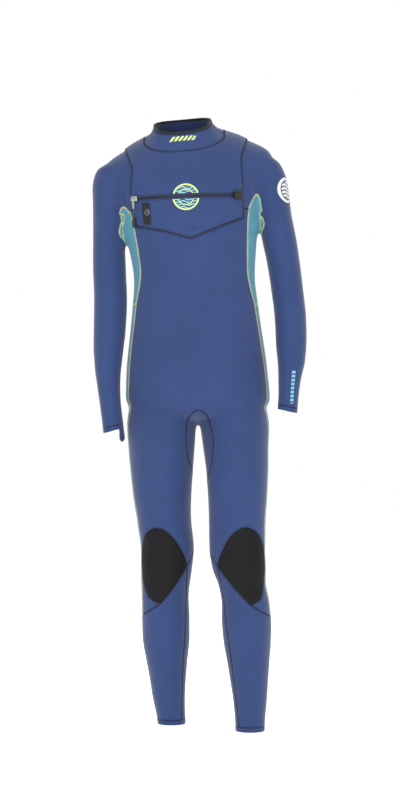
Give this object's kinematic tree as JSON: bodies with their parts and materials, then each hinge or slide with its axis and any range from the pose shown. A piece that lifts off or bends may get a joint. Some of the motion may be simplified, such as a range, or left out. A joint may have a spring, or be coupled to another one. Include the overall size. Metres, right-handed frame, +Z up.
{
  "type": "wetsuit",
  "caption": "Full-length child wetsuit with a chest zip entry flap, padded knees, teal side panels and a standing collar, in its worn shape.",
  "frame": {"origin": "centre of the neck opening, where the wearer or a form holds the suit up", "axes": "+Z up along the body, the front faces -Y, the wearer's right is -X"},
  "size_m": [0.4069, 0.2142, 1.1631],
  "materials": {
    "blue_jersey": "closed-cell foam rubber faced with fine mid-blue knitted jersey",
    "teal_jersey": "stretch foam rubber faced with teal jersey",
    "navy_jersey": "thin dark jersey on the inner bib",
    "knee_rubber": "textured black abrasion-resistant knee face",
    "black_webbing": "woven black tape and webbing",
    "black_plastic": "moulded black plastic",
    "silver_metal": "satin silver plated metal",
    "grey_metal": "dark grey plated metal",
    "grey_rubber": "grey rubber-coated cord",
    "lime_print": "thin screen-printed ink",
    "white_print": "thin printed transfer"
  },
  "bodies": {
    "suit": {"ankle_hem_left": "blue_jersey", "ankle_hem_right": "blue_jersey", "back_panel": "blue_jersey", "calf_panel_left": "blue_jersey", "calf_panel_right": "blue_jersey", "chest_emblem_lower": "lime_print", "clasp_socket": "black_plastic", "crotch_gusset": "blue_jersey", "drain_eyelet_1": "grey_metal", "drain_eyelet_2": "grey_metal", "drain_eyelet_3": "grey_metal", "forearm_mark": "teal_jersey", "front_body_panel": "blue_jersey", "hip_strip_left": "teal_jersey", "hip_strip_right": "teal_jersey", "inner_bib": "navy_jersey", "knee_pad_left": "knee_rubber", "knee_pad_right": "knee_rubber", "lower_zip_panel": "blue_jersey", "rear_thigh_left": "blue_jersey", "rear_thigh_right": "blue_jersey", "seat_panel": "blue_jersey", "shin_panel_left": "blue_jersey", "shin_panel_right": "blue_jersey", "side_panel_left": "teal_jersey", "side_panel_right": "teal_jersey", "sleeve_badge": "white_print", "sleeve_left": "blue_jersey", "sleeve_right": "blue_jersey", "snap_stud": "grey_metal", "underarm_gusset_left": "teal_jersey", "underarm_gusset_right": "teal_jersey", "wrist_hem_left": "blue_jersey", "wrist_hem_right": "blue_jersey", "zip_chain_lower": "black_plastic", "zip_tape_lower": "navy_jersey"},
    "chest_flap": {"chest_flap_panel": "blue_jersey", "collar_front": "blue_jersey", "collar_back": "blue_jersey", "collar_binding": "black_webbing", "zip_tape_upper": "navy_jersey", "zip_chain_upper": "black_plastic", "clasp_tongue": "black_plastic", "chest_emblem_upper": "lime_print", "collar_mark": "lime_print"},
    "slider": {"zip_slider_body": "silver_metal"},
    "pull": {"pull_link": "silver_metal", "pull_stem": "grey_rubber", "pull_tab": "black_plastic"},
    "strap": {"keeper_strap": "black_webbing", "snap_cap": "grey_metal"}
  },
  "joints": [
    {"name": "flap_hinge", "type": "hinge", "parent": "suit", "child": "chest_flap", "pos_m": [0, 0.0722, 0.0186], "axis": [-0.996, 0, -0.0896], "range_deg": [0, 80]},
    {"name": "slider_travel", "type": "hinge", "parent": "suit", "child": "slider", "pos_m": [0.01249, 0.098, -0.11826], "axis": [-0.035, 0, 0.9994], "range_deg": [0, 53.3]},
    {"name": "pull_swing", "type": "hinge", "parent": "slider", "child": "pull", "pos_m": [-0.09353, -0.06785, -0.12347], "axis": [-0.8418, 0.539, -0.0295], "range_deg": [0, 150]},
    {"name": "strap_hinge", "type": "hinge", "parent": "suit", "child": "strap", "pos_m": [-0.07, -0.0756, -0.1309], "axis": [-0.9099, 0.4149, 0], "range_deg": [0, 100]}
  ]
}
